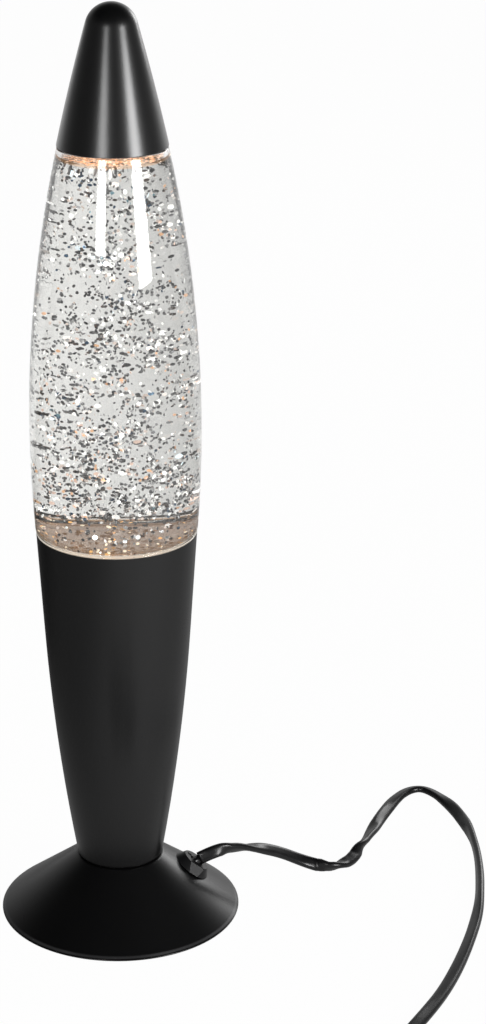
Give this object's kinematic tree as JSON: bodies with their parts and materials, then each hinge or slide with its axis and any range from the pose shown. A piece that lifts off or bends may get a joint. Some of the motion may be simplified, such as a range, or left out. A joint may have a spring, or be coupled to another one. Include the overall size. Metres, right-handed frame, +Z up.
{
  "type": "glitter table lamp",
  "caption": "Rocket-shaped glitter lamp: black cone foot, tapered housing, lift-off glass bottle of glitter liquid, black cap, with flex, rocker switch and plug.",
  "frame": {"origin": "on the table under the middle of the foot", "axes": "+Z up along the lamp's axis; +X is the side on which the flex leaves the foot; -Y is the front"},
  "size_m": [0.2292, 0.3595, 0.4197],
  "materials": {
    "satin_black_paint": "satin",
    "clear_seat": "clear",
    "clear_glass": "polished",
    "clear_liquid": "clear",
    "glitter": "polished",
    "closure_metal": "satin",
    "soft_foam": "matte",
    "black_board": "matte",
    "zinc_steel": "satin",
    "white_thermoset": "satin",
    "brass_parts": "satin",
    "nickel_plate": "polished",
    "solder": "satin",
    "black_glass_insulator": "gloss",
    "bulb_glass": "polished",
    "lamp_wire": "satin",
    "black_plastic": "satin",
    "flex_pvc": "satin",
    "core_insulation": "satin"
  },
  "bodies": {
    "base": {"foot": "satin_black_paint", "housing": "satin_black_paint", "bottle_seat_ring": "clear_seat", "non_slip_pad": "soft_foam", "foot_cover": "black_board", "threaded_tube": "zinc_steel", "spacer_tube": "zinc_steel", "hex_nut": "zinc_steel", "lock_washer": "zinc_steel", "terminal_screws": "zinc_steel", "switch_screws": "zinc_steel", "holder_cap": "white_thermoset", "holder_body": "white_thermoset", "holder_core": "white_thermoset", "holder_sleeve": "brass_parts", "centre_contact": "brass_parts", "holder_terminals": "brass_parts", "switch_blade": "brass_parts", "switch_terminals": "brass_parts", "plug_pins": "nickel_plate", "flex_bushing": "black_plastic", "flex_wedge": "black_plastic", "switch_lower_shell": "black_plastic", "switch_upper_shell": "black_plastic", "plug_pin_sleeves": "black_plastic", "flex_tie": "black_plastic", "flex_lamp_to_switch": "flex_pvc", "flex_switch_to_coil": "flex_pvc", "flex_coil": "flex_pvc", "flex_coil_to_plug": "flex_pvc", "inner_flex": "flex_pvc", "plug_body": "flex_pvc", "plug_boot": "flex_pvc", "inner_cores": "core_insulation", "switch_cores": "core_insulation"},
    "bottle": {"bottle_glass": "clear_glass", "bottle_liquid": "clear_liquid", "glitter_flakes": "glitter", "bottle_closure": "closure_metal", "closure_liner": "soft_foam"},
    "cap": {"cap": "satin_black_paint", "cap_grip_ring": "soft_foam"},
    "bulb_end": {"bulb_tip_contact": "solder", "bulb_insulator": "black_glass_insulator"},
    "bulb": {"bulb_screw_shell": "nickel_plate", "bulb_envelope": "bulb_glass", "bulb_stem": "bulb_glass", "bulb_supports": "lamp_wire", "bulb_filament": "lamp_wire"},
    "rocker": {"switch_rocker": "black_plastic"}
  },
  "joints": [
    {"name": "bottle_lift", "type": "slide", "parent": "base", "child": "bottle", "axis": [0, 0, 1], "range_m": [0, 0.1]},
    {"name": "cap_lift", "type": "slide", "parent": "bottle", "child": "cap", "axis": [0, 0, 1], "range_m": [0, 0.06]},
    {"name": "bulb_rise", "type": "slide", "parent": "base", "child": "bulb_end", "axis": [0, 0, 1], "range_m": [0, 0.0141]},
    {"name": "bulb_turn", "type": "hinge", "parent": "bulb_end", "child": "bulb", "pos_m": [0, 0, 0.1], "axis": [0, 0, 1], "range_deg": [0, 1800]},
    {"name": "rocker_tilt", "type": "hinge", "parent": "base", "child": "rocker", "pos_m": [0.054, -0.16, 0.0132], "axis": [0, 1, 0], "range_deg": [0, 16]}
  ],
  "couplings": [
    {"joint": "bulb_turn", "follows": "bulb_rise", "rad_per_m": 2228.1}
  ]
}
